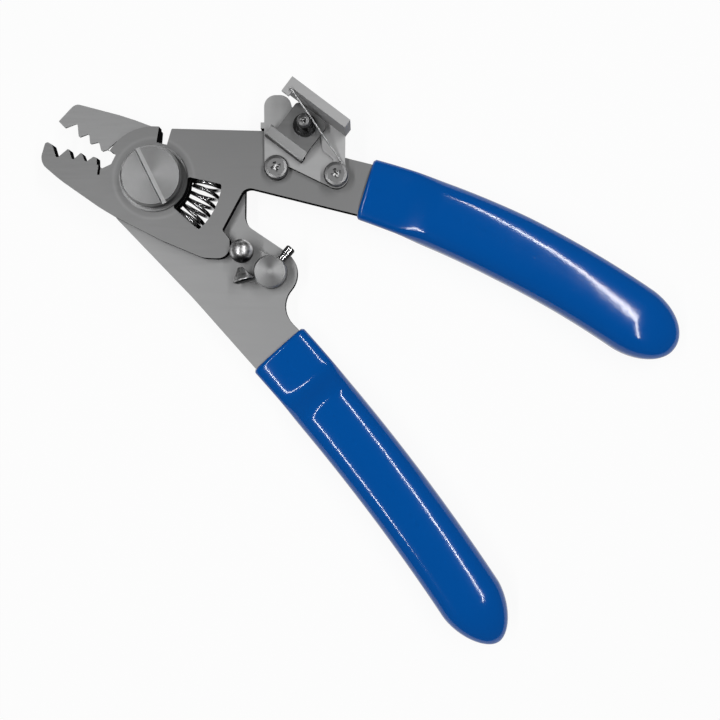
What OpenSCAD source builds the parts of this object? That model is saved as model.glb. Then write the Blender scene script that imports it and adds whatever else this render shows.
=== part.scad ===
// Fibre stripper: two lapped steel plates on one pivot screw, three-notch scissor jaws,
// a bow spring in a window, dipped grips, a turn-away opening stop and a fibre clamp.
// It lies on its grips; the pivot axis is the Z axis and the table is z = 0.

/* [Plates] */
// Thickness of each plate
plate_t = 2.8; // [2.4:0.1:3.2]
// Running gap between the two plates
lap_gap = 0.05; // [0.03:0.01:0.1]
// Angle between rest and fully closed
open_angle = 15.6; // [12:0.1:16]
// Radius of the round lap about the pivot
lap_r = 13; // [12.6:0.1:13.4]
// Width of the slit between the back jaw and the front handle
slit_w = 2.7; // [2:0.1:3.2]
// Distance from the pivot to the bottom of the slit
slit_in = 8.9; // [8.6:0.1:9.6]

/* [Jaws] */
// Pivot to nose
jaw_len = 28.5; // [27.8:0.1:30]
// How far the teeth pass the closed centre line
tooth_over = 0.9; // [0.6:0.05:1.2]
// Place of the largest notch, from 0 at the heel to 1 at the nose
notch_a = 0.727; // [0.7:0.005:0.74]
// Place of the middle notch
notch_b = 0.446; // [0.43:0.005:0.46]
// Place of the smallest notch
notch_c = 0.209; // [0.2:0.005:0.22]
// Depth of the back jaw's largest notch below the centre line
depth_a = 1.4; // [1.1:0.05:1.6]
// Depth of the middle notch below the centre line
depth_b = 0.75; // [0.6:0.05:1]
// Depth of the smallest notch below the centre line
depth_c = 0.35; // [0.2:0.05:0.5]
// How much deeper the front jaw is notched
front_deeper = 0.35; // [0:0.05:0.4]
// Flat floor of a notch
notch_floor = 0.5; // [0.2:0.05:0.7]
// Width of the grind behind the back jaw's centre line
grind_w = 3.8; // [2.8:0.1:4.2]
// Width of its flat, thinned part
thin_w = 2; // [1.6:0.1:2.4]
// Thickness of the teeth at the cutting edge
edge_t = 0.5; // [0.3:0.05:1]
// Height of the jaw at its nose
nose_h = 4.2; // [3.6:0.1:5]
// Width of the heel slit behind the notches
heel_slit_w = 0.6; // [0.4:0.05:0.9]
// Length of the heel slit
heel_slit_l = 3; // [1.5:0.1:3.6]

/* [Pivot] */
// Screw head diameter
head_d = 15.2; // [13:0.1:16]
// Screw head height
head_h = 2.6; // [1.8:0.1:3.4]
// Screw shank diameter
shank_d = 8; // [6:0.1:9]
// Width of the coin slot
coin_w = 1.2; // [0.6:0.1:1.6]
// Depth of the coin slot
coin_depth = 0.5; // [0.4:0.1:1.6]
// Washer diameter
washer_d = 16.8; // [16:0.1:17]
// Washer thickness
washer_t = 0.6; // [0.4:0.1:1]
// Nut across flats
nut_af = 12; // [11:0.1:13]
// Radial running clearance of turning fits
run_gap = 0.05; // [0.02:0.01:0.08]

/* [Spring window] */
// Inner radius of the window
win_in = 8.5; // [8.4:0.05:8.8]
// Outer radius of the window
win_out = 17.1; // [16.8:0.1:17.6]
// Half length of the window along the spring
win_half = 5.6; // [5:0.1:6]
// Lean of each window end
win_lean = 14.5; // [10:0.5:18]
// Direction from the pivot to the middle of the window
win_dir = -27; // [-31:0.5:-26]
// Corner radius of the window
win_corner = 0.6; // [0.3:0.05:0.7]
// Spring wire diameter
wire_d = 1; // [0.7:0.05:1.2]
// Spring outside diameter
coil_d = 7.6; // [6.4:0.1:7.8]
// Turns of the spring
coil_n = 5.5; // [4:0.5:7]

/* [Handles] */
// Width of the front strap
front_strap_w = 13; // [12.4:0.1:13.6]
// Width of the back strap
back_strap_w = 14.7; // [13.6:0.1:15.2]
// Width of the tang inside a grip
tang_w = 10.5; // [8:0.1:12]
// Share of the grip that the tang fills
tang_reach = 0.78; // [0.5:0.02:0.86]

/* [Grips] */
// Thickness of a grip
grip_t = 11; // [9.6:0.1:13]
// Wall of the thin sleeve at the mouth of a grip
sleeve_wall = 1.4; // [1:0.1:1.8]
// Length of the front grip
front_grip_l = 88.4; // [84:0.2:92]
// Half width of the front grip at its mouth
front_grip_w0 = 7.8; // [7.5:0.1:8.4]
// Half width of the front grip at its end
front_grip_w1 = 8.8; // [8:0.1:9.6]
// Length of the back grip
back_grip_l = 93; // [88:0.2:97]
// Half width of the back grip at its mouth
back_grip_w0 = 8.4; // [8.1:0.1:9]
// Half width of the back grip at its end
back_grip_w1 = 8.4; // [8:0.1:9.6]
// Distance from the mouth to the shoulder
shoulder_at = 10; // [7:0.5:14]
// Length of the rise at the shoulder
shoulder_l = 9; // [6:0.5:14]

/* [Opening stop] */
// Ball diameter
ball_d = 6; // [5.4:0.1:6.2]
// Diameter of the cone's rim
cone_d = 5.3; // [4:0.1:5.4]
// Distance from the cone's point to its rim
cone_l = 4; // [3.6:0.1:4.2]
// Bulge of the cone's round end
cone_bulge = 0.8; // [0.4:0.1:1]
// Stop arm thickness
arm_t = 0.9; // [0.6:0.05:1.1]
// Knob diameter
knob_d = 8.3; // [7:0.1:9]
// Knob height
knob_h = 3.2; // [2.8:0.1:4]
// Peg diameter
peg_d = 2.5; // [1.6:0.1:2.6]
// Diameter of the peg's neck
peg_neck_d = 2; // [1.4:0.1:2.2]
// Length of the peg's thick end
peg_end_l = 2.4; // [1.6:0.1:2.8]
// Length of the peg from the knob's axis
peg_l = 8; // [6.5:0.1:9]
// Axle diameter
axle_d = 3; // [2.4:0.1:4]
// Radius of the plate lobe round the knob
lobe_r = 6.5; // [5.8:0.1:7]

/* [Fibre clamp] */
// Bracket sheet thickness
bracket_t = 1.2; // [0.8:0.05:1.4]
// Diameter of the bracket screws
clamp_screw_d = 2.5; // [2:0.1:3]
// Head diameter of the bracket screws
clamp_head_d = 6.1; // [5:0.1:6.4]
// Head height of the bracket screws
clamp_head_h = 1.3; // [1:0.1:1.8]
// Width of the clip plate across its bend
clip_side = 8.6; // [8:0.1:9]
// Length of the clip plate along its bend
clip_len = 9.5; // [8.6:0.1:10]
// Clip sheet thickness
clip_t = 0.8; // [0.5:0.05:1]
// Gap between the bracket and the clip plate
clip_gap = 2; // [1.6:0.1:2.4]
// Radius of the rolled bead along the clip plate's lower edge
bead_r = 0.9; // [0.7:0.05:0.95]
// Distance from the bend to the bead
bead_out = 1.85; // [1.6:0.05:2.2]
// How far the rolled lip runs past the plate
lip_past = 1.7; // [0.6:0.1:2.2]
// Clip screw diameter
clip_screw_d = 2; // [1.6:0.1:2.4]
// Head diameter of the clip screw
clip_head_d = 3.4; // [3:0.1:3.6]
// Height of the collar under its head
clip_collar_h = 2.2; // [1:0.1:2.6]
// Lever bar width
bar_w = 2.25; // [2:0.05:2.8]
// Lever bar height
bar_h = 8.3; // [6:0.1:9]
// Lever bar length
bar_l = 17.1; // [16:0.1:18]
// Lever sheet thickness
lever_t = 0.7; // [0.5:0.05:0.8]
// Lever spring wire diameter
lever_wire_d = 0.5; // [0.3:0.02:0.52]

/* [Hidden] */
$fn = 72;

// Levels. The plates lap at half the thickness of the grips.
lap_z = grip_t / 2;
back_z = lap_z - plate_t;
front_z = lap_z + lap_gap;
top_z = front_z + plate_t;
seat = 0.02;                        // gap under a piece that turns on a flat
jaw_dir = 148;                      // closed centre line of the jaws
front_jaw_dir = jaw_dir + open_angle;
strap_dir = -13.9;
strap_in = 3.45;                    // distance of the strap's lower edge line from the pivot
slit_dir = 77;

// Centre lines of the grips: mouth, first and last direction
front_mouth = [52.94, -2.45];
front_turn = [-17.04, -37.5];
front_grip_shape = [front_mouth, front_turn, front_grip_l, front_grip_w0, front_grip_w1, 1.96];
back_mouth = [30.79, -42.73];
back_turn = [-48.15, -57.8];
back_grip_shape = [back_mouth, back_turn, back_grip_l, back_grip_w0, back_grip_w1, 1.7];
grip_cap = 13.5;                    // length of the rounded end
grip_round = 2.6;                   // squareness of the grip's section
grip_rings = 38;
grip_sides = 28;

// Places of the stop and the clamp
knob_at = [29.2, -23.4];
ball_at = [22.15, -18.35];
cone_at = [21.45, -21.54];            // where the cone's sides would meet
cone_dir = -74;
peg_dir = 49;
left_screw_at = [30.8, 2.3];
lever_screw_at = [45.7, 0.3];
clip_at = [37.8, 11.4];
clip_screw_at = [38.1, 12];
clip_dir = -36.9;
bar_at = [35.65, 22.05];
bar_dir = -37;
hook_at = [1.4, -2.7];               // hole in the tab, from the bar's outer corner

function unit(v) = v / norm(v);
function turn(a, p) = [p.x * cos(a) - p.y * sin(a), p.x * sin(a) + p.y * cos(a)];
// A point s along direction a from the pivot and n to its left
function along(a, s, n) = turn(a, [s, n]);
function xyr(p, r) = [p.x, p.y, r];

// Arc that rounds corner q between p and t
function corner(p, q, t, r) =
    let (a = unit(p - q), b = unit(t - q), half = acos(max(-1, min(1, a * b))) / 2,
         c = q + unit(a + b) * r / sin(half),
         s = q + a * r / tan(half), e = q + b * r / tan(half),
         a0 = atan2(s.y - c.y, s.x - c.x), a1 = atan2(e.y - c.y, e.x - c.x),
         sweep = (a1 - a0 + 540) % 360 - 180, n = max(1, ceil(abs(sweep) / 9)))
    [for (i = [0:n]) c + r * [cos(a0 + sweep * i / n), sin(a0 + sweep * i / n)]];

// Outline through points [x, y, radius], each corner rounded by its radius
function rounded(pts) = [
    for (i = [0:len(pts) - 1])
        let (m = len(pts), p = pts[(i + m - 1) % m], q = pts[i], t = pts[(i + 1) % m])
        each (q[2] > 0 ? corner([p.x, p.y], [q.x, q.y], [t.x, t.y], q[2]) : [[q.x, q.y]])];

// Tooth line from the nose to the heel: [s along the jaw, height over the centre line]
function jaw_s(share) = heel[0] + share * (jaw_len - heel[0]);
notches = [[notch_a, depth_a, 0.144], [notch_b, depth_b, 0.108], [notch_c, depth_c, 0.108]];
function tooth_line(deeper) = [for (k = notches) each [
    [jaw_s(k[0] + k[2]), tooth_over], [jaw_s(k[0]) + notch_floor / 2, -k[1] - deeper],
    [jaw_s(k[0]) - notch_floor / 2, -k[1] - deeper], [jaw_s(k[0] - k[2]), tooth_over]]];
heel = [14.6, -0.7];                // where the teeth end

// Grip station u in 0..1: place, direction, half width, half thickness, middle height
function path_dir(ends, u) = ends[0] + (ends[1] - ends[0]) * u;
function path_at(mouth, ends, l, u) =
    let (w = (ends[1] - ends[0]) * PI / 180, a = ends[0], b = path_dir(ends, u))
    mouth + l / w * [sin(b) - sin(a), cos(a) - cos(b)];
function ease(x) = let (t = max(0, min(1, x))) t * t * (3 - 2 * t);
function cap(l, e, u) = let (t = min(0.9999, max(0, u * l - (l - grip_cap)) / grip_cap))
    pow(1 - pow(t, e), 1 / e);
function side_at(g, u) = (g[3] + (g[4] - g[3]) * pow(min(1, u / 0.45), 0.8)) * cap(g[2], g[5], u);
function rise(l, u) = ease((u * l - shoulder_at) / shoulder_l);
function deep_at(g, u) = let (thin = plate_t / 2 + sleeve_wall)
    (thin + (grip_t / 2 - thin) * rise(g[2], u)) * cap(g[2], g[5], u);
function power(x, e) = sign(x) * pow(abs(x), e);

// Grip body of g = [mouth, directions, length, half widths at mouth and end, end power]
module grip_body(g, plate_mid) {
    l = g[2];
    // stations are even along the body and close together round the end
    us = [for (i = [0:grip_rings]) let (t = i / grip_rings)
        t < 0.7 ? t / 0.7 * (1 - grip_cap / l)
                : 1 - grip_cap / l * (1 - sin(90 * (t - 0.7) / 0.3))];
    pts = [for (u = us) let (c = path_at(g[0], g[1], l, u), a = path_dir(g[1], u),
            w = side_at(g, u), h = deep_at(g, u),
            z = plate_mid + (lap_z - plate_mid) * rise(l, u))
        for (j = [0:grip_sides - 1]) let (b = 360 * j / grip_sides,
            x = w * power(cos(b), 2 / grip_round), y = h * power(sin(b), 2 / grip_round))
        [c.x - x * sin(a), c.y + x * cos(a), z + y]];
    m = grip_sides;
    walls = [for (i = [0:grip_rings - 1]) for (j = [0:m - 1]) let (k = (j + 1) % m)
        each [[i * m + j, i * m + k, (i + 1) * m + k], [i * m + j, (i + 1) * m + k, (i + 1) * m + j]]];
    polyhedron(pts, concat(walls, [[for (j = [m - 1:-1:0]) j]],
        [[for (j = [0:m - 1]) grip_rings * m + j]]));
}

// Arc of outline points round c from direction a0 to a1
function arc(c, r, a0, a1) = let (n = ceil(abs(a1 - a0) / 7))
    [for (i = [0:n]) xyr(c + r * [cos(a0 + (a1 - a0) * i / n), sin(a0 + (a1 - a0) * i / n)], 0)];

// Outline of a tang that follows a grip's centre line, out on side hand and back
function tang(g, hand) =
    let (us = [0.02, 0.26, 0.52, tang_reach], h = hand * tang_w / 2,
         at = function (u, k) path_at(g[0], g[1], g[2], u)
             + k * [-sin(path_dir(g[1], u)), cos(path_dir(g[1], u))],
         round_end = function (u) u == tang_reach ? tang_w * 0.4 : 0)
    concat([for (i = [0:3]) xyr(at(us[i], h), round_end(us[i]))],
           [for (i = [3:-1:0]) xyr(at(us[i], -h), round_end(us[i]))]);

// Arc of the window at radius r, out to the leaning ends, with rounded corners
function window_rim(r, way) = let (
        d = win_half * cos(win_lean) - (win_in + win_out) / 2 * sin(win_lean),
        a = way * (win_lean + asin(d / r)), n = ceil(abs(a) / 8))
    [for (i = [-n:n]) xyr(r * [cos(a * i / n), sin(a * i / n)], abs(i) == n ? win_corner : 0)];

// Window shape: a ring sector with leaning ends
module window() rotate(win_dir) polygon(rounded(concat(window_rim(win_out, 1), window_rim(win_in, -1))));

module front_outline() {
    f = function (s, n) along(front_jaw_dir, s, -n);
    g = function (s, n) along(strap_dir, s, n);
    jaw = concat(
        [xyr(f(jaw_len, tooth_over - 0.2), 0.3), xyr(f(jaw_len - 0.5, tooth_over + 0.3), 0.3)],
        [for (p = tooth_line(front_deeper)) xyr(f(p[0], p[1]), 0)],
        [xyr(f(heel[0] + 0.5, tooth_over), 0), xyr(f(heel[0], heel[1]), 0),
         xyr(f(13.1, -1.3), 0), xyr(f(11.2, 0.4), 0), xyr(f(10.75, 2.9), 0)]);
    strap = [xyr(along(slit_dir, slit_in, slit_w / 2), 0),
        xyr(along(slit_dir, slit_in, -slit_w / 2), 0),
        xyr([4.5, 12.4], 0.4), xyr([28.4, 11.8], 5),
        xyr(g(46, strap_in + front_strap_w), 12), xyr(g(53, strap_in + front_strap_w), 0)];
    lower = [xyr(g(52.2, strap_in), 0), xyr([22.9, -2.1], 2.6), xyr([17.1, -12.9], 0.6),
        xyr([18.95, -15.2], 1), xyr([19.1, -20.1], 3), xyr([12.4, -19.9], 6),
        xyr([2, -15.55], 12), xyr(f(9, -11.5), 30), xyr(f(jaw_s(0.55), -7.05), 20),
        xyr(f(jaw_len, -nose_h), 3.4)];
    polygon(rounded(concat(jaw, arc([0, 0], lap_r, 147, 84), strap, tang(front_grip_shape, 1), lower)));
}

module heel_slit(p, a) translate(p) rotate(a) translate([0, -heel_slit_w / 2])
    square([heel_slit_l, heel_slit_w]);

module front_plate() color([0.56, 0.57, 0.58]) translate([0, 0, front_z])
    difference() {
        linear_extrude(plate_t) difference() {
            front_outline();
            window();
            heel_slit(along(front_jaw_dir, 13.95, 0.1), front_jaw_dir + 98);
        }
        for (p = [left_screw_at, lever_screw_at]) translate([p.x, p.y, -1])
            cylinder(h = plate_t + 2, d = clamp_screw_d);
        translate([0, 0, -1]) cylinder(h = plate_t + 2, d = shank_d + 2 * run_gap);
    }

module back_outline() {
    b = function (s, n) along(jaw_dir, s, n);
    jaw = concat(
        [xyr(b(jaw_len - 0.7, -nose_h - 1.5), 2.2), xyr(b(jaw_len + 0.5, 0.35), 0.2),
         xyr(b(jaw_len - 1.6, tooth_over), 0)],
        [for (p = tooth_line(0)) xyr(b(p[0], p[1]), 0)],
        [xyr(b(heel[0] + 0.9, tooth_over), 0), xyr(b(heel[0] + 0.2, 0), 0),
         xyr(b(12.6, -0.4), 0), xyr(b(11.1, 1.2), 0), xyr(b(10.9, 4), 0)]);
    mouth_in = along(back_turn[0], 0.8, 0) + back_mouth;
    across = along(back_turn[0] + 90, 1, 0);
    handle = [xyr([-10.6, -9.1], 4), xyr([9.5, -30], 60), xyr(mouth_in - back_strap_w * 0.51 * across, 0)];
    neck = [xyr(mouth_in + back_strap_w * 0.49 * across, 0), xyr([30.3, -31.95], 6.4)];
    hidden = [xyr([22.4, -11], 4), xyr([22.6, 2.5], 4), xyr([10, 9.8], 3),
        xyr(along(slit_dir, slit_in, -slit_w / 2), 0)];
    top = [xyr(along(slit_dir, slit_in, slit_w / 2), 0), xyr(b(6, -11.5), 0.2),
        xyr(b(14.8, -9.75), 40)];
    polygon(rounded(concat(jaw, arc([0, 0], lap_r - 0.6, 177, 205), handle, tang(back_grip_shape, -1),
        neck, arc(knob_at, lobe_r, -41, 56), hidden, top)));
}

module back_plate() color([0.6, 0.61, 0.62]) difference() {
    translate([0, 0, back_z]) linear_extrude(plate_t) difference() {
        back_outline();
        window();
        heel_slit(along(jaw_dir, 14.4, -0.2), jaw_dir - 106);
    }
    // rear grind that thins the teeth to a cutting edge
    translate([0, 0, back_z]) rotate(jaw_dir) translate([heel[0] - 0.6, 0, 0]) rotate([90, 0, 90])
        linear_extrude(jaw_len) polygon([[-grind_w, -0.01], [-thin_w, plate_t - edge_t],
            [tooth_over + 1, plate_t - edge_t], [tooth_over + 1, -1], [-grind_w, -1]]);
    translate([0, 0, back_z - 1]) cylinder(h = plate_t + 2, d = shank_d + 2 * run_gap);
    translate([knob_at.x, knob_at.y, back_z - 1]) cylinder(h = plate_t + 2, d = axle_d + 2 * run_gap);
}

module pivot_screw() color([0.66, 0.66, 0.67]) {
    head_z = top_z + washer_t + 2 * seat;
    difference() {
        translate([0, 0, head_z]) rotate_extrude()
            polygon([[0, 0], [head_d / 2 - 0.2, 0], [head_d / 2, 0.2], [head_d / 2, head_h - 0.5],
                     [head_d / 2 - 0.5, head_h], [0, head_h]]);
        translate([0, 0, head_z + head_h - coin_depth / 2 + 0.5]) rotate(-63.8)
            cube([head_d + 2, coin_w, coin_depth + 1], center = true);
    }
    translate([0, 0, 0.3]) cylinder(h = head_z - 0.3, d = shank_d);
}

module pivot_washer() color([0.62, 0.62, 0.63]) translate([0, 0, top_z + seat])
    difference() {
        cylinder(h = washer_t, d = washer_d);
        translate([0, 0, -1]) cylinder(h = washer_t + 2, d = shank_d + 2 * run_gap);
    }

module pivot_nut() color([0.5, 0.5, 0.52]) difference() {
    cylinder(h = back_z, d = nut_af / cos(30), $fn = 6);
    translate([0, 0, -1]) cylinder(h = back_z + 2, d = shank_d);
}

// Bow spring: a helix on an arc whose end turns lie along the window ends
module return_spring() color([0.2, 0.2, 0.21]) {
    mid_r = (win_in + win_out) / 2;
    // the end turns lie flat, just clear of the leaning window ends
    bow_r = (win_half * cos(win_lean) - wire_d / 2 - 0.06) / sin(win_lean);
    n = ceil(coil_n * 16);
    sides = 8;
    coil_r = (coil_d - wire_d) / 2;
    spot = function (t) let (
            lead = max(0, min(1, (t * coil_n - 0.5) / (coil_n - 1))),
            a = win_lean * (2 * lead - 1), q = 360 * coil_n * t)
        [mid_r + (bow_r + coil_r * cos(q)) * cos(a) - bow_r, (bow_r + coil_r * cos(q)) * sin(a),
         coil_r * sin(q)];
    pts = [for (i = [0:n]) let (t = i / n, p = spot(t),
            d = unit(spot(min(1, t + 0.002)) - spot(max(0, t - 0.002))),
            lead = max(0, min(1, (t * coil_n - 0.5) / (coil_n - 1))), a = win_lean * (2 * lead - 1),
            c = [mid_r + bow_r * cos(a) - bow_r, bow_r * sin(a), 0],
            o = unit((p - c) - ((p - c) * d) * d), w = cross(d, o))
        for (j = [0:sides - 1]) p + wire_d / 2 * (o * cos(360 * j / sides) + w * sin(360 * j / sides))];
    walls = [for (i = [0:n - 1]) for (j = [0:sides - 1]) let (k = (j + 1) % sides)
        each [[i * sides + k, i * sides + j, (i + 1) * sides + j],
              [i * sides + k, (i + 1) * sides + j, (i + 1) * sides + k]]];
    translate([0, 0, lap_z + lap_gap / 2]) rotate(win_dir)
        polyhedron(pts, concat(walls, [[for (j = [0:sides - 1]) j]],
            [[for (j = [sides - 1:-1:0]) n * sides + j]]));
}

module front_grip() color([0.05, 0.33, 0.65]) difference() {
    grip_body(front_grip_shape, front_z + plate_t / 2);
    translate([0, 0, front_z]) linear_extrude(plate_t) front_outline();
}

module back_grip() color([0.05, 0.33, 0.65]) difference() {
    grip_body(back_grip_shape, back_z + plate_t / 2);
    translate([0, 0, back_z]) linear_extrude(plate_t) back_outline();
}

arm_z = lap_z + seat;
arm_top = arm_z + arm_t;

module stop_arm() color([0.6, 0.61, 0.62]) translate([0, 0, arm_z]) difference() {
    linear_extrude(arm_t) union() {
        hull() { translate(knob_at) circle(3.6, $fn = 32); translate(ball_at) circle(2.6, $fn = 32); }
        hull() { translate(knob_at) circle(3.6, $fn = 32);
                 translate(cone_at + along(cone_dir, 2.4, 0)) circle(1.4, $fn = 32); }
    }
    translate([knob_at.x, knob_at.y, -1]) cylinder(h = arm_t + 2, d = axle_d);
}

module stop_ball() color([0.82, 0.82, 0.84]) translate([ball_at.x, ball_at.y, 0]) {
    ball_z = arm_top + ball_d / 2 + 0.03;
    translate([0, 0, ball_z]) sphere(d = ball_d);
    translate([0, 0, arm_top]) cylinder(h = ball_z - arm_top, d = ball_d * 0.5);
}

// Turned cone that lies on the arm, blunt end by the ball and round end away from it
module stop_cone() color([0.82, 0.82, 0.84]) translate([cone_at.x, cone_at.y, arm_top + cone_d / 2 + seat])
    rotate(cone_dir) rotate([0, 90, 0]) rotate_extrude() polygon([[0, cone_l * 0.22],
        [cone_d * 0.11, cone_l * 0.22], [cone_d / 2, cone_l], [cone_d / 2 - 0.1, cone_l + cone_bulge * 0.35],
        [cone_d * 0.38, cone_l + cone_bulge * 0.75], [cone_d * 0.2, cone_l + cone_bulge * 0.95],
        [0, cone_l + cone_bulge]]);

module stop_knob() color([0.66, 0.66, 0.67]) translate([knob_at.x, knob_at.y, arm_top])
    rotate_extrude() polygon([[0, 0], [knob_d / 2 - 0.25, 0], [knob_d / 2, 0.25],
        [knob_d / 2, knob_h - 0.3], [knob_d / 2 - 0.3, knob_h], [0, knob_h]]);

module stop_peg() color([0.7, 0.7, 0.72])
    translate([knob_at.x, knob_at.y, arm_top + knob_h / 2]) rotate(peg_dir) rotate([0, 90, 0])
    difference() {
        rotate_extrude() polygon([[0, 2], [peg_neck_d / 2, 2], [peg_neck_d / 2, peg_l - peg_end_l],
            [peg_d / 2, peg_l - peg_end_l], [peg_d / 2, peg_l - 0.3], [peg_d / 2 - 0.3, peg_l], [0, peg_l]]);
        rotate([0, -90, 0]) translate([0, 0, -knob_h]) cylinder(h = 2 * knob_h, d = knob_d);
    }

module stop_axle() color([0.6, 0.6, 0.62]) translate([knob_at.x, knob_at.y, 0]) {
    translate([0, 0, back_z - seat]) cylinder(h = arm_top - back_z + seat, d = axle_d);
    translate([0, 0, back_z - seat - 1]) rotate_extrude()
        polygon([[0, 0], [axle_d / 2 + 0.7, 0], [axle_d / 2 + 1, 0.3], [axle_d / 2 + 1, 1], [0, 1]]);
}

module clamp_bracket() color([0.63, 0.64, 0.65]) difference() {
    union() {
        translate([0, 0, top_z]) linear_extrude(bracket_t) union() {
            polygon(rounded([[27.9, 2.3, 0], [27.75, 20.4, 2.9], [34.3, 20.4, 2.9], [34.6, 17.4, 1],
                [43.4, 11.4, 1.5], [47.6, 4.5, 3], [48.8, 0.3, 0], [45.7, 0.3, 0], [44.5, -2.55, 0],
                [33.3, 2.9, 0.5], [31, 1, 0]]));
            translate(left_screw_at) circle(2.9);
            translate(lever_screw_at) circle(3.1);
        }
        // lug bent down over the edge of the handle
        translate([26.9, 12.1, top_z - 2.2]) cube([1.2, 1.5, 2.2 + bracket_t]);
    }
    for (p = [[left_screw_at, clamp_screw_d], [lever_screw_at, clamp_screw_d], [clip_screw_at, clip_screw_d]])
        translate([p[0].x, p[0].y, top_z - 1]) cylinder(h = bracket_t + 2, d = p[1] + 2 * run_gap);
}

// Pan head with a cross recess that narrows to a point
module cross_head(d, h) difference() {
    rotate_extrude() polygon([[0, 0], [d / 2, 0], [d / 2, h * 0.55], [d / 2 - h * 0.25, h * 0.85],
        [d / 2 - h * 0.7, h], [0, h]]);
    for (a = [20, 110]) rotate(a) translate([0, 0, h]) cube([d * 0.42, d * 0.13, h * 1.2], center = true);
    translate([0, 0, h * 0.25]) cylinder(h = h, r1 = 0, r2 = d * 0.17, $fn = 24);
}

bracket_top = top_z + bracket_t;
lever_z = bracket_top + seat;
lever_head_z = lever_z + lever_t + lever_wire_d + 0.1;

module bracket_screw_left() color([0.66, 0.66, 0.67]) translate([left_screw_at.x, left_screw_at.y, 0]) {
    translate([0, 0, bracket_top]) cross_head(clamp_head_d, clamp_head_h);
    translate([0, 0, front_z]) cylinder(h = bracket_top - front_z, d = clamp_screw_d);
}

module lever_screw() color([0.66, 0.66, 0.67]) translate([lever_screw_at.x, lever_screw_at.y, 0]) {
    translate([0, 0, lever_head_z]) cross_head(clamp_head_d, clamp_head_h);
    translate([0, 0, front_z]) cylinder(h = lever_head_z - front_z, d = clamp_screw_d);
}

clip_z = bracket_top + clip_gap;

module clip_spacer() color([0.55, 0.55, 0.57]) translate([clip_screw_at.x, clip_screw_at.y, bracket_top])
    difference() {
        cylinder(h = clip_gap, d = 4);
        translate([0, 0, -1]) cylinder(h = clip_gap + 2, d = clip_screw_d + 2 * run_gap);
    }

// Spring plate with one edge folded down to a rolled bead on the bracket, longer at its outer end
module clip_plate() color([0.42, 0.42, 0.43]) difference() {
    translate([clip_at.x, clip_at.y, clip_z]) rotate(clip_dir) {
        x0 = clip_side / 2 - clip_len;
        y0 = -clip_side / 2;
        yb = y0 - bead_out;
        zb = bead_r + seat - clip_gap;
        linear_extrude(clip_t) polygon(rounded([[x0, y0 + 0.4, 0], [x0 + 0.3, y0, 0],
            [clip_side / 2, y0, 0], [clip_side / 2, clip_side / 2, 1.4], [x0, clip_side / 2, 0.9]]));
        translate([x0 - lip_past, 0, 0]) rotate([90, 0, 90]) difference() {
            union() {
                linear_extrude(clip_len + lip_past) polygon([[y0 + 0.3, 0], [y0 + 0.3, clip_t],
                    [y0, clip_t], [yb - 0.2, zb + bead_r * 0.96], [yb, zb + 0.2], [y0, 0]]);
                translate([yb, zb, 0]) cylinder(h = clip_len + lip_past, r = bead_r, $fn = 32);
            }
            translate([yb, zb, -1]) cylinder(h = clip_len + lip_past + 2, r = bead_r / 2, $fn = 32);
        }
    }
    translate([clip_screw_at.x, clip_screw_at.y, clip_z - 1])
        cylinder(h = clip_t + 2, d = clip_screw_d + 2 * run_gap);
}

module ring_on_clip(z, d, h) translate([clip_screw_at.x, clip_screw_at.y, z]) difference() {
    cylinder(h = h, d = d);
    translate([0, 0, -1]) cylinder(h = h + 2, d = clip_screw_d + 2 * run_gap);
}
washer_h = 0.5;
clip_head_z = clip_z + clip_t + 2 * washer_h;

module clip_washer() color([0.55, 0.55, 0.57]) ring_on_clip(clip_z + clip_t, 5.8, washer_h);

// Split ring under the head
module clip_lockwasher() color([0.5, 0.5, 0.52]) difference() {
    ring_on_clip(clip_z + clip_t + washer_h, 4.4, washer_h);
    translate([clip_screw_at.x, clip_screw_at.y, clip_z + clip_t]) rotate(-70)
        translate([0, -0.2, 0]) cube([3, 0.4, 2]);
}

module clip_screw() color([0.6, 0.6, 0.62]) translate([clip_screw_at.x, clip_screw_at.y, 0]) {
    translate([0, 0, clip_head_z + clip_collar_h]) cross_head(clip_head_d, 1.5);
    translate([0, 0, clip_head_z]) cylinder(h = clip_collar_h, d = clip_head_d - 0.4);
    translate([0, 0, top_z - 1.6]) cylinder(h = clip_head_z - top_z + 1.6, d = clip_screw_d);
}

module clip_nut() color([0.5, 0.5, 0.52]) translate([clip_screw_at.x, clip_screw_at.y, top_z - 1.6])
    difference() {
        cylinder(h = 1.6, d = 4 / cos(30), $fn = 6);
        translate([0, 0, -1]) cylinder(h = 4, d = clip_screw_d);
    }

// Folded channel with an arm to its pivot and a hooked tab
module thumb_lever() color([0.62, 0.63, 0.64]) {
    difference() {
        union() {
            translate([bar_at.x, bar_at.y, lever_z]) rotate(bar_dir) {
                difference() {
                    translate([0, -bar_w, 0]) cube([bar_l, bar_w, bar_h]);
                    translate([-1, -bar_w + lever_t, -1])
                        cube([bar_l - lever_t + 1, bar_w - 2 * lever_t, bar_h - lever_t + 1]);
                }
                translate([-0.2, -4.3, bar_h - lever_t]) cube([2.1, 4.3, lever_t]);
            }
            translate([0, 0, lever_z]) linear_extrude(lever_t) union() {
                translate(lever_screw_at) circle(2.8);
                polygon(rounded([[43.2, 0.3, 0], [45.2, 4.1, 0.5], [42.4, 6.5, 1.5], [41.6, 11.4, 1],
                    [37.3, 17.2, 0.5], [35.6, 19.6, 0], [36.4, 20.4, 0], [48, 11.7, 0],
                    [47.9, 4, 1], [48.2, 0.3, 0]]));
            }
        }
        translate([lever_screw_at.x, lever_screw_at.y, lever_z - 1])
            cylinder(h = lever_t + 2, d = clamp_screw_d + 2 * run_gap);
        translate([bar_at.x, bar_at.y, lever_z + bar_h - 2]) rotate(bar_dir)
            translate([hook_at.x, hook_at.y, 0]) cylinder(h = 4, d = lever_wire_d + 0.3);
    }
}

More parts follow.
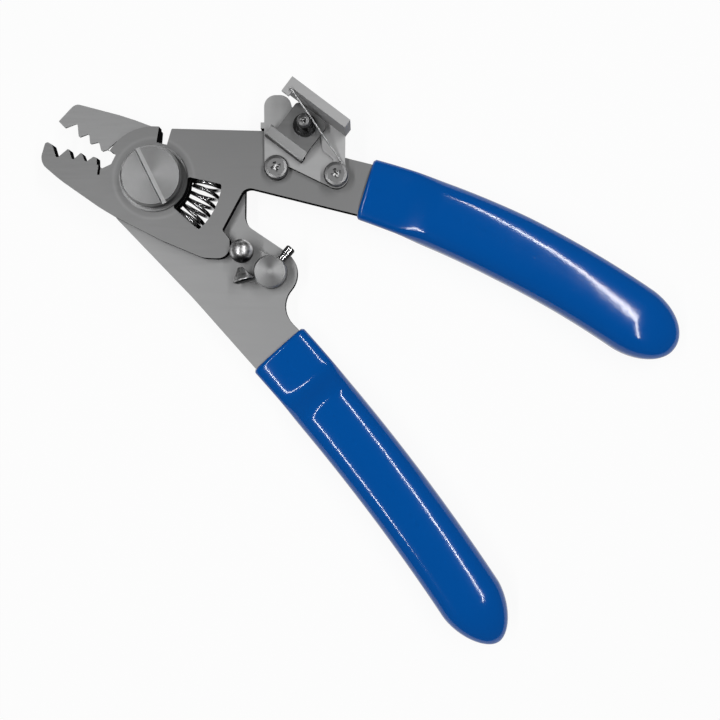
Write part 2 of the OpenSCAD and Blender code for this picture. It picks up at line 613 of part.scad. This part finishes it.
// A straight length of wire between two points, with round ends
module wire(p, q) {
    d = q - p;
    translate(p) rotate([0, acos(d.z / norm(d)), atan2(d.y, d.x)])
        cylinder(h = norm(d), d = lever_wire_d, $fn = 16);
    translate(q) sphere(d = lever_wire_d * 1.12, $fn = 16);
}

// Wire from the hooked tab to an eye round the lever screw, out from under its head
module lever_spring() color([0.75, 0.75, 0.77]) {
    a = [bar_at.x, bar_at.y] + turn(bar_dir, hook_at);
    eye_r = (clamp_screw_d + lever_wire_d) / 2 + 0.1;
    low = lever_z + lever_t + lever_wire_d / 2 + 0.03;
    high = lever_z + bar_h + lever_wire_d / 2 + 0.5;
    leave = lever_screw_at + [eye_r * cos(10), eye_r * sin(10)];
    clear = lever_screw_at + [1.35, clamp_head_d / 2 + 0.1];
    translate([lever_screw_at.x, lever_screw_at.y, low]) rotate_extrude()
        translate([eye_r, 0]) circle(d = lever_wire_d, $fn = 16);
    translate([leave.x, leave.y, low]) sphere(d = lever_wire_d * 1.12, $fn = 16);
    wire([leave.x, leave.y, low], [clear.x, clear.y, low]);
    wire([clear.x, clear.y, low], [a.x, a.y, high]);
    wire([a.x, a.y, high], [a.x, a.y, high - 1.8]);
}

back_plate();
front_plate();
pivot_screw();
pivot_washer();
pivot_nut();
return_spring();
front_grip();
back_grip();
stop_arm();
stop_ball();
stop_cone();
stop_knob();
stop_peg();
stop_axle();
clamp_bracket();
bracket_screw_left();
lever_screw();
clip_spacer();
clip_plate();
clip_washer();
clip_lockwasher();
clip_screw();
clip_nut();
thumb_lever();
lever_spring();
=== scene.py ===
import math
import bpy
import numpy as np
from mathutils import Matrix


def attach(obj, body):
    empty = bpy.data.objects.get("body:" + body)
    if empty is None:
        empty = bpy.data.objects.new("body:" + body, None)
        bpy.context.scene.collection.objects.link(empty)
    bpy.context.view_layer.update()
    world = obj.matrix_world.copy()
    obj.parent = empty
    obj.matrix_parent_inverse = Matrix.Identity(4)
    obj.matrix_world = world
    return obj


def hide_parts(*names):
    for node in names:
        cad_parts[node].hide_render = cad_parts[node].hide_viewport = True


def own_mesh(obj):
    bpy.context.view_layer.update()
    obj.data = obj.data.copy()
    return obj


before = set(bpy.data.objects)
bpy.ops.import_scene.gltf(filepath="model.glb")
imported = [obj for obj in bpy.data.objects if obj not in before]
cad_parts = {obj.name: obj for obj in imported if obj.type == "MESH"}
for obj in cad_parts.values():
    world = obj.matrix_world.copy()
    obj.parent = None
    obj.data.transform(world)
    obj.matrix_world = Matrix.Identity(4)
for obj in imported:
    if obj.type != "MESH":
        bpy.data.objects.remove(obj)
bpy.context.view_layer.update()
mm = 0.001
scene = bpy.context.scene
print("frame loaded:", len(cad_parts), "nodes")


class Sock:
    # wraps one socket, so that plain sums on it add Math nodes
    def __init__(self, mat, link):
        self.mat, self.link = mat, link

    def math(self, op, other=None):
        return self.mat.node("ShaderNodeMath", {"operation": op}, [self, other])[0]

    def __add__(self, other): return self.math("ADD", other)
    def __sub__(self, other): return self.math("SUBTRACT", other)

    def __rsub__(self, other):
        return self.mat.node("ShaderNodeMath", {"operation": "SUBTRACT"}, [other, self])[0]

    def __mul__(self, other): return self.math("MULTIPLY", other)
    def __truediv__(self, other): return self.math("DIVIDE", other)
    def __pow__(self, other): return self.math("POWER", other)
    def __abs__(self): return self.math("ABSOLUTE")
    def sin(self): return self.math("SINE")
    def clamp(self): return self.mat.node("ShaderNodeClamp", {}, [self, 0.0, 1.0])[0]

    def nearZero(self, width):  # 1 where the value is 0, falling to 0 at that distance
        return (1 - abs(self) / width).clamp()

    def between(self, low, high):  # 0 below low, 1 above high, smooth in between
        return self.mat.node("ShaderNodeMapRange", {"interpolation_type": "SMOOTHSTEP"},
                             [self, low, high, 0.0, 1.0])[0]


class Finish:
    # one procedural material, with its Principled shader and its Object coordinates
    def __init__(self, name):
        self.mat = bpy.data.materials.new(name)
        self.mat.use_nodes = True
        self.tree = self.mat.node_tree
        self.shader = self.tree.nodes["Principled BSDF"]
        self.place = self.node("ShaderNodeTexCoord", {}, [])[3]
        self.facing = self.node("ShaderNodeTexCoord", {}, [])[1]

    def node(self, kind, settings, values):
        # a node of that type: its settings first, then the value or link of each socket in turn
        new = self.tree.nodes.new(kind)
        for key, value in settings.items():
            setattr(new, key, value)
        sockets = [s for s in new.inputs if s.enabled] if not isinstance(values, dict) else new.inputs
        pairs = values.items() if isinstance(values, dict) else enumerate(values)
        for key, value in pairs:
            if value is None:
                continue
            if isinstance(value, Sock):
                self.tree.links.new(value.link, sockets[key])
            else:
                sockets[key].default_value = (*value, 1) if isinstance(value, tuple) and \
                    sockets[key].type == "RGBA" else value
        return [Sock(self, s) for s in new.outputs if s.enabled]

    def xyz(self, vector):
        return self.node("ShaderNodeSeparateXYZ", {}, [vector])

    def moved(self, turn=0.0, size=(1, 1, 1), shift=(0, 0, 0)):
        # Object coordinates, turned about Z and stretched
        return self.node("ShaderNodeMapping", {}, {"Vector": self.place, "Rotation": (0, 0, turn),
                                                   "Scale": size, "Location": shift})[0]

    def noise(self, vector, scale, detail=3.0, rough=0.5):
        return self.node("ShaderNodeTexNoise", {}, {"Vector": vector, "Scale": scale, "Detail": detail,
                                                    "Roughness": rough})[0]

    def mix(self, amount, low, high):
        return self.node("ShaderNodeMix", {"data_type": "RGBA"}, {0: amount, 6: low, 7: high})[0]

    def bump(self, height, strength, distance):
        self.set(Normal=self.node("ShaderNodeBump", {}, {"Strength": strength, "Distance": distance,
                                                         "Height": height})[0])

    def set(self, **sockets):
        for key, value in sockets.items():
            socket = self.shader.inputs[key.replace("_", " ")]
            if isinstance(value, Sock):
                self.tree.links.new(value.link, socket)
            else:
                socket.default_value = (*value, 1) if socket.type == "RGBA" else value
        return self


def paint(finish, *names):
    for name in names:
        obj = bpy.data.objects[name]
        obj.data.materials.clear()
        obj.data.materials.append(finish.mat)


# paintedWallShade is the colour of the painted shade on the plates' side walls
steelLook = {
    "frontFace": (0.24, 0.241, 0.242), "backFace": (0.325, 0.326, 0.328), "sheetFace": (0.42, 0.421, 0.423),
    "leverFace": (0.47, 0.471, 0.473), "clipFace": (0.21, 0.211, 0.212), "paintedWallShade": (0.01, 0.01, 0.0105),
    "grain": 1800.0, "clouds": 55.0, "scratch": 380.0, "rough": 0.56, "ring": 10.1,
    "ringInside": (9.9, 9.3),
}


def plateSteel(name, face, turn, rough=steelLook["rough"], edge=steelLook["paintedWallShade"], pivotRing=False,
               metal=1.0, fold=0.0):
    # sheet steel: a fine grain along the rolling direction and faint clouds, with painted highlights on the
    # bevelled edges and painted shade on the side walls; pivotRing adds a lighter ring round the pivot with
    # a darker band inside it
    f = Finish(name)
    up = abs(f.xyz(f.facing)[2])
    shadedWall, litRim = up.between(0.12, 0.45), up.between(0.86, 0.97)
    grain = f.noise(f.moved(turn, (0.06, 1, 1)), steelLook["grain"], 2.0)
    clouds = f.noise(f.moved(), steelLook["clouds"], 3.0)
    scratch = f.noise(f.moved(turn + 0.5, (0.05, 1, 1)), steelLook["scratch"], 4.0).between(0.62, 0.72)
    shade = (grain - 0.5) * 0.16 + (clouds - 0.5) * 0.3 + 0.5
    if fold:  # the folded slope, streaked and darker than the flat
        # painted shade: the slope is darkened where it tilts from flat, broken by streaks of painted
        # reflection
        reflectionStreaks = f.noise(f.moved(turn - math.pi / 2, (0.15, 1, 1)), 900.0, 2.0)
        shade = shade - (1 - up.between(0.8, 0.95)) * fold * (reflectionStreaks + 0.5)
    # a lighter ring round the pivot, with a darker band inside it
    if pivotRing:
        x, y = f.xyz(f.place)[:2]
        r = (x * x + y * y) ** 0.5 * 1000
        inside = r.between(*steelLook["ringInside"])
        shade = shade + (r - steelLook["ring"]).nearZero(0.55) * 0.2 - inside * 0.1
    light = tuple(min(1, c * 1.3) for c in face)
    dim = tuple(c * 0.72 for c in face)
    # painted highlight: the bevelled edges are brighter than the face
    body = f.mix(litRim, tuple(min(1, c * 1.45) for c in face), f.mix(shade, dim, light))
    # painted shade: the side walls take the dark wall colour
    f.set(Base_Color=f.mix(shadedWall, edge, body), Metallic=shadedWall * metal, Specular_IOR_Level=0.0,
          Roughness=(grain - 0.5) * 0.12 + clouds * 0.08 + rough + scratch * 0.03 - 0.04)
    f.bump(grain + clouds * 0.6 - scratch * 0.15, 0.1, 0.00006)
    return f


# side is the colour of the painted shade on the turned sides
turnedLook = {"rough": 0.4, "pitch": 0.16, "bump": 0.2, "side": (0.02, 0.02, 0.021), "corner": (7.7, 7.5)}


def turnedSteel(name, face, centre, fanReflection, groove=0.0):
    # lathe-turned metal: fine rings round an axis, painted reflection fans such as the rings throw, a
    # painted highlight at the centre and on the turned corner, and painted shade on the side
    f = Finish(name)
    x, y, z = f.xyz(f.moved(shift=(-centre[0] * mm, -centre[1] * mm, 0)))
    r = (x * x + y * y) ** 0.5
    around = f.node("ShaderNodeMath", {"operation": "ARCTAN2"}, [y, x])[0]
    rings = (r * (2 * math.pi / (turnedLook["pitch"] * mm))).sin()
    wobble = f.noise(f.moved(), 260.0, 2.0)
    reflectionFans = (around * 2 + 1.35).sin() * 0.75 + (around * 3 + 0.4).sin() * 0.25
    up = abs(f.xyz(f.facing)[2])
    shadedWall, litRim = up.between(0.1, 0.4), up.between(0.86, 0.97)
    # painted highlight: a bright spot at the centre
    centreHighlight = (r * 1000).between(0.9, 0.3)
    # painted reflection: fans of light and dark round the axis
    shade = reflectionFans * fanReflection * (r * 1000).between(0.2, 1.6) + rings * 0.05
    shade = shade + (wobble - 0.5) * 0.35 + centreHighlight * 0.3 + 0.5
    if groove:  # the slot across the head is bright below that height, as far as the turned corner
        # painted highlight: the slot floor is brightened inside the turned corner
        inside = (r * 1000).between(*turnedLook["corner"])
        shade = shade + (z * 1000).between(groove, groove - 0.2) * inside * 0.9
    # painted highlight on the turned corner, painted shade on the sides
    body = f.mix(litRim, tuple(min(1, c * 1.9) for c in face),
                 f.mix(shade, tuple(c * 0.6 for c in face), tuple(min(1, c * 1.45) for c in face)))
    f.set(Base_Color=f.mix(shadedWall, turnedLook["side"], body), Metallic=shadedWall,
          Roughness=wobble * 0.1 + turnedLook["rough"] - 0.05)
    f.bump(rings * 0.4 + wobble * 0.5, turnedLook["bump"], 0.00003)
    return f


def polishedMetal(name, face, rough):
    # bright plating with a faint haze
    f = Finish(name)
    haze = f.noise(f.moved(), 420.0, 3.0)
    f.set(Base_Color=f.mix(haze, tuple(c * 0.9 for c in face), face), Metallic=1.0,
          Roughness=haze * 0.1 + rough - 0.04)
    f.bump(haze, 0.05, 0.00003)
    return f


# colours of the painted reflection flakes (bright, middle) and of the painted shade (shadedSide)
chromeLook = {"bright": (0.95, 0.95, 0.955), "middle": (0.4, 0.4, 0.403), "shadedSide": (0.015, 0.015, 0.016)}


def mottledChrome(name, low, high, rough=0.3):
    # tumbled chrome: small dents in the bump, painted reflection flakes and streaks of light and dark, and
    # painted black shade low on its sides
    f = Finish(name)
    dents = f.noise(f.moved(), 780.0, 4.0, 0.62)
    reflectionStreak = f.noise(f.moved(0.5, (1.0, 0.25, 1.0)), 900.0, 2.0)
    ny, nz = f.xyz(f.facing)[1:]
    # painted shade: black where the surface faces down or toward -Y
    up = nz.between(low, high) * ny.between(-0.75, -0.3)
    shade = (dents * 0.6 + reflectionStreak * 0.4).between(0.4, 0.56)
    reflectionFlakes = f.mix(shade, chromeLook["middle"], chromeLook["bright"])
    f.set(Base_Color=f.mix(up, chromeLook["shadedSide"], reflectionFlakes), Metallic=1.0, Roughness=dents * 0.2 + rough)
    f.bump(dents, 0.5, 0.00008)
    return f


def screwSteel(name, face, centre, bore):
    # satin head with painted shade on its thin sides; the cross recess is painted with bright highlights and
    # black shade
    f = Finish(name)
    x, y = f.xyz(f.moved(shift=(-centre[0] * mm, -centre[1] * mm, 0)))[:2]
    r = (x * x + y * y) ** 0.5 * 1000
    up = abs(f.xyz(f.facing)[2])
    cloud = f.noise(f.moved(), 300.0, 3.0)
    recessHighlightAndShade = f.noise(f.moved(), 1500.0, 1.0).between(0.44, 0.52)
    # painted shade: the head's sides are near black
    body = f.mix(up.between(0.2, 0.75), (0.02, 0.02, 0.021),
                 f.mix(cloud, tuple(c * 0.8 for c in face), tuple(c * 1.2 for c in face)))
    flatRim = up.between(0.93, 0.99) * r.between(bore * 0.5, bore * 0.7)
    # painted highlight and painted shade: the recess is white and black flecks
    hole = r.between(bore + 0.12, bore - 0.12) * (1 - flatRim)
    f.set(Base_Color=f.mix(hole, body, f.mix(recessHighlightAndShade, (0.01, 0.01, 0.01), (1, 1, 1))), Metallic=1.0,
          Roughness=cloud * 0.1 + 0.4)
    f.bump(cloud, 0.08, 0.00004)
    return f


# deep is the colour of the painted shade low on the grips' sides
gripLook = {"deep": (0.001, 0.068, 0.31), "blue": (0.001, 0.095, 0.41), "rough": 0.11, "dimple": 260.0}


def dippedVinyl(name):
    # thick glossy dip: flows a little, with a fine orange peel and painted shade low on its sides
    f = Finish(name)
    flow = f.noise(f.moved(), 38.0, 2.0)
    peel = f.noise(f.moved(), gripLook["dimple"], 3.0)
    dust = f.noise(f.moved(), 2600.0, 1.0).between(0.66, 0.8)
    # painted shade: the blue darkens on the sides that face down
    up = f.xyz(f.facing)[2].between(-0.2, 0.75)
    f.set(Base_Color=f.mix((up * 0.8 + flow * 0.3).clamp(), gripLook["deep"], gripLook["blue"]),
          Roughness=peel * 0.06 + dust * 0.12 + gripLook["rough"] - 0.03, Specular_IOR_Level=0.4)
    f.bump(flow * 1.5 + peel * 0.25, 0.25, 0.0003)
    return f


# axes that the turned and screwed pieces share with the solids, in millimetres
axisAt = {"pivot": (0, 0), "knob": (29.2, -23.4), "leftScrew": (30.8, 2.3), "leverScrew": (45.7, 0.3),
          "clipScrew": (38.1, 12)}

frontSteel = plateSteel("frontSteel", steelLook["frontFace"], 0.24, pivotRing=True)
backSteel = plateSteel("backSteel", steelLook["backFace"], 0.82)
sheetSteel = plateSteel("sheetSteel", steelLook["sheetFace"], 0.6, metal=0.4)
leverSteel = plateSteel("leverSteel", steelLook["leverFace"], 0.6, edge=steelLook["leverFace"], metal=0.5)
clipSteel = plateSteel("clipSteel", steelLook["clipFace"], 0.65, 0.42, fold=0.5)
pivotMetal = turnedSteel("pivotMetal", (0.2, 0.201, 0.202), axisAt["pivot"], fanReflection=0.25, groove=11.3)
knobMetal = turnedSteel("knobMetal", (0.27, 0.271, 0.273), axisAt["knob"], fanReflection=0.6)
leftScrewMetal = screwSteel("leftScrewMetal", (0.27, 0.27, 0.272), axisAt["leftScrew"], 1.25)
leverScrewMetal = screwSteel("leverScrewMetal", (0.25, 0.25, 0.252), axisAt["leverScrew"], 1.25)
clipScrewMetal = screwSteel("clipScrewMetal", (0.16, 0.16, 0.162), axisAt["clipScrew"], 0.75)
ringMetal = polishedMetal("ringMetal", (0.12, 0.12, 0.122), 0.25)
# painted: the ball and cone go black facing down; the peg stays black except on the stripe along its top
chrome = mottledChrome("chrome", low=0.0, high=0.5)
pegChrome = mottledChrome("pegChrome", low=0.6, high=0.95, rough=0.1)
brightMetal = polishedMetal("brightMetal", (0.6, 0.6, 0.605), 0.42)
wireMetal = polishedMetal("wireMetal", (0.3, 0.3, 0.305), 0.2)
vinyl = dippedVinyl("vinyl")
print("finishes made")


def gridPiece(name, points, body, finish):
    # points[i, j] is a grid in millimetres, j goes round; the two ends are closed by fans
    rows, cols = points.shape[:2]
    verts = points.reshape(-1, 3) * mm
    i, j = np.meshgrid(np.arange(rows - 1), np.arange(cols), indexing="ij")
    a, b = (i * cols + j).ravel(), (i * cols + (j + 1) % cols).ravel()
    c, d = b + cols, a + cols
    faces = [tuple(q) for q in np.stack([a, b, c, d], 1).tolist()]
    faces.append(tuple(range(cols - 1, -1, -1)))
    faces.append(tuple(range((rows - 1) * cols, rows * cols)))
    mesh = bpy.data.meshes.new(name)
    mesh.from_pydata(verts.tolist(), [], faces)
    mesh.polygons.foreach_set("use_smooth", [True] * len(mesh.polygons))
    mesh.update()
    obj = bpy.data.objects.new(name, mesh)
    scene.collection.objects.link(obj)
    mesh.materials.append(finish.mat)
    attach(obj, body)
    return obj


def tube(path, radius, sides):
    # rings of that radius square to a path, carried along it without twisting
    step = np.gradient(path, axis=0)
    step /= np.linalg.norm(step, axis=1)[:, None]
    side = np.zeros_like(path)
    start = np.cross(step[0], [0.31, 0.17, 0.93])
    side[0] = start / np.linalg.norm(start)
    for n in range(1, len(path)):
        s = side[n - 1] - step[n] * np.dot(side[n - 1], step[n])
        side[n] = s / np.linalg.norm(s)
    other = np.cross(step, side)
    q = np.linspace(0, 2 * math.pi, sides, endpoint=False)
    ring = side[:, None] * np.cos(q)[None, :, None] + other[:, None] * np.sin(q)[None, :, None]
    return path[:, None] + radius * ring


gripShape = {
    "front": dict(mouth=(52.94, -2.45), turn=(-17.04, -37.5), length=88.4, w0=7.8, w1=8.8, power=1.96,
                  plateMid=6.95),
    "back": dict(mouth=(30.79, -42.73), turn=(-48.15, -57.8), length=93.0, w0=8.4, w1=8.4, power=1.7,
                 plateMid=4.1),
    "thick": 11.0, "lapZ": 5.5, "thin": 2.8, "cap": 13.5, "square": 2.6, "shoulderAt": 10.0, "shoulder": 9.0,
}


def gripSurface(g, around=96, along=220):
    # a centre line that bends evenly, carrying a squarish oval that thickens past the shoulder and
    # rounds off at the end; the first rings turn in round the rolled lip of the mouth
    s = gripShape
    t = np.linspace(0, 1, along)
    capShare = s["cap"] / g["length"]
    u = np.where(t < 0.7, t / 0.7 * (1 - capShare), 1 - capShare * (1 - np.sin(np.pi / 2 * (t - 0.7) / 0.3)))
    a0, a1 = np.radians(g["turn"])
    bend = a1 - a0
    ang = a0 + bend * u
    cx = g["mouth"][0] + g["length"] / bend * (np.sin(ang) - math.sin(a0))
    cy = g["mouth"][1] + g["length"] / bend * (math.cos(a0) - np.cos(ang))
    into = np.clip((u * g["length"] - (g["length"] - s["cap"])) / s["cap"], 0, 1)
    cap = (1 - np.minimum(into, 0.99995) ** g["power"]) ** (1 / g["power"])
    step = np.clip((u * g["length"] - s["shoulderAt"]) / s["shoulder"], 0, 1)
    rise = step * step * (3 - 2 * step)
    half = (g["w0"] + (g["w1"] - g["w0"]) * np.minimum(1, u / 0.45) ** 0.8) * cap
    deep = (s["thin"] + (s["thick"] / 2 - s["thin"]) * rise) * cap
    midZ = g["plateMid"] + (s["lapZ"] - g["plateMid"]) * rise
    lip = np.clip(1 - u * g["length"] / 0.7, 0, 1)
    half, deep = half - 0.5 * lip ** 2.2, deep - 0.45 * lip ** 2.2
    q = np.linspace(0, 2 * math.pi, around, endpoint=False)
    c = np.sign(np.cos(q)) * np.abs(np.cos(q)) ** (2 / s["square"])
    d = np.sign(np.sin(q)) * np.abs(np.sin(q)) ** (2 / s["square"])
    x, y = half[:, None] * c, deep[:, None] * d
    return np.stack([cx[:, None] - x * np.sin(ang)[:, None], cy[:, None] + x * np.cos(ang)[:, None],
                     midZ[:, None] + y], 2)


for which in ("front", "back"):
    sleeve = gridPiece(which + "Sleeve", gripSurface(gripShape[which]), which, vinyl)
    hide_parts(which + "_grip")
print("grips made")

bowLook = {"middle": 12.8, "half": 5.6, "lean": 14.5, "coil": 7.6, "wire": 1.0, "turns": 5.5, "face": -27.0,
           "midZ": 5.525, "keep": 0.6}


def bowPath(perTurn=40):
    # a helix whose axis is an arc bowed away from the pivot, with half a flat turn at each end
    b = bowLook
    t = np.linspace(0, 1, int(b["turns"] * perTurn) + 1)
    lean = math.radians(b["lean"])
    bow = (b["half"] * math.cos(lean) - b["wire"] / 2 - 0.06) / math.sin(lean)
    lead = np.clip((t * b["turns"] - 0.5) / (b["turns"] - 1), 0, 1)
    a, q = lean * (2 * lead - 1), 2 * math.pi * b["turns"] * t
    reach = bow + (b["coil"] - b["wire"]) / 2 * np.cos(q)
    along, across = b["middle"] + reach * np.cos(a) - bow, reach * np.sin(a)
    f = math.radians(b["face"])
    return np.stack([along * math.cos(f) - across * math.sin(f), along * math.sin(f) + across * math.cos(f),
                     b["midZ"] + (b["coil"] - b["wire"]) / 2 * np.sin(q)], 1)


bowSpring = gridPiece("bowSpring", tube(bowPath(), bowLook["wire"] / 2, 16), "back", wireMetal)
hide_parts("return_spring")
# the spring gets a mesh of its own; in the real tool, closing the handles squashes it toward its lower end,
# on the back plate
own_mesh(bowSpring)
print("spring made")

paint(frontSteel, "front_plate")
paint(backSteel, "back_plate", "stop_arm")
paint(sheetSteel, "clamp_bracket")
paint(leverSteel, "thumb_lever")
paint(clipSteel, "clip_plate")
paint(pivotMetal, "pivot_screw", "pivot_washer", "pivot_nut")
paint(knobMetal, "stop_knob", "stop_axle")
paint(leftScrewMetal, "bracket_screw_left")
paint(leverScrewMetal, "lever_screw")
paint(clipScrewMetal, "clip_screw")
paint(ringMetal, "clip_spacer", "clip_washer", "clip_lockwasher", "clip_nut")
paint(chrome, "stop_ball", "stop_cone")
paint(pegChrome, "stop_peg")
paint(brightMetal, "lever_spring")

edgeSize = {"front_plate": 0.16, "back_plate": 0.16, "clamp_bracket": 0.15, "thumb_lever": 0.15,
            "clip_plate": 0.2, "stop_arm": 0.15, "pivot_nut": 0.3}
for nodeName, size in edgeSize.items():
    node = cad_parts[nodeName]
    weld = node.modifiers.new("weld", "WELD")
    weld.merge_threshold = 0.00001
    bevel = node.modifiers.new("edge", "BEVEL")
    bevel.width, bevel.segments, bevel.limit_method = size * mm, 2, "ANGLE"
    bevel.angle_limit = math.radians(30 if nodeName == "clip_plate" else 50)

stageLook = {
    "floor": (0.9, 0.9, 0.9), "floorGlow": 0.92, "zenith": 0.22, "horizon": 1.0,
    "camera": (0.051602, -0.045445, 0.20835),
    "rightStrip": dict(place=(0.28, 0.08, 0.5), length=0.7, width=0.016, radiance=48.0),
    "leftStrip": dict(place=(-0.2, -0.13, 0.5), length=0.65, width=0.016, radiance=48.0),
}

floorMat = Finish("paperFloor")
ray = floorMat.node("ShaderNodeLightPath", {}, [])
rays = {s.link.name: s for s in ray}
seen = (rays["Is Camera Ray"] + rays["Is Glossy Ray"] + rays["Is Transmission Ray"]).clamp()
glow = floorMat.node("ShaderNodeEmission", {}, {"Color": (1, 1, 1), "Strength": 1.0})[0]
floorMat.set(Base_Color=stageLook["floor"], Roughness=0.9)
shader = Sock(floorMat, floorMat.shader.outputs[0])
both = floorMat.node("ShaderNodeMixShader", {}, {0: seen * stageLook["floorGlow"], 1: shader, 2: glow})[0]
floorMat.tree.links.new(both.link, floorMat.tree.nodes["Material Output"].inputs["Surface"])
bpy.ops.mesh.primitive_plane_add(size=6, location=(0.05, -0.045, -0.0001))
floor = bpy.context.object
floor.name = "paperFloor"
floor.data.materials.append(floorMat.mat)

world = bpy.data.worlds.new("studio")
scene.world = world
world.use_nodes = True
tree = world.node_tree
back = tree.nodes["Background"]
# a faint grey sky that is dimmer overhead, with a brighter band near the horizon
way = tree.nodes.new("ShaderNodeTexCoord").outputs["Generated"]
split = tree.nodes.new("ShaderNodeSeparateXYZ")
tree.links.new(way, split.inputs[0])
tent = tree.nodes.new("ShaderNodeMapRange")
tree.links.new(split.outputs["Z"], tent.inputs["Value"])
for key, value in {"From Min": 0.25, "From Max": 0.9, "To Min": stageLook["horizon"],
                   "To Max": stageLook["zenith"]}.items():
    tent.inputs[key].default_value = value
tree.links.new(tent.outputs["Result"], back.inputs["Strength"])


def stripLight(name, place, length, width, radiance):
    # a long thin light above the table, its length along Y, turned to face the part
    data = bpy.data.lights.new(name, "AREA")
    data.shape, data.size, data.size_y = "RECTANGLE", width, length
    data.energy = radiance * math.pi * width * length
    obj = bpy.data.objects.new(name, data)
    scene.collection.objects.link(obj)
    obj.location = place
    obj.rotation_euler = (0, math.atan2(place[0] - 0.05, place[2]), 0)
    return obj


for which in ("rightStrip", "leftStrip"):
    stripLight(which, **stageLook[which])

camData = bpy.data.cameras.new("camera")
camData.sensor_width, camData.lens = 36, 40
camData.clip_start = 0.01
camera = bpy.data.objects.new("camera", camData)
scene.collection.objects.link(camera)
camera.location = stageLook["camera"]
scene.camera = camera

scene.view_settings.view_transform = "Standard"
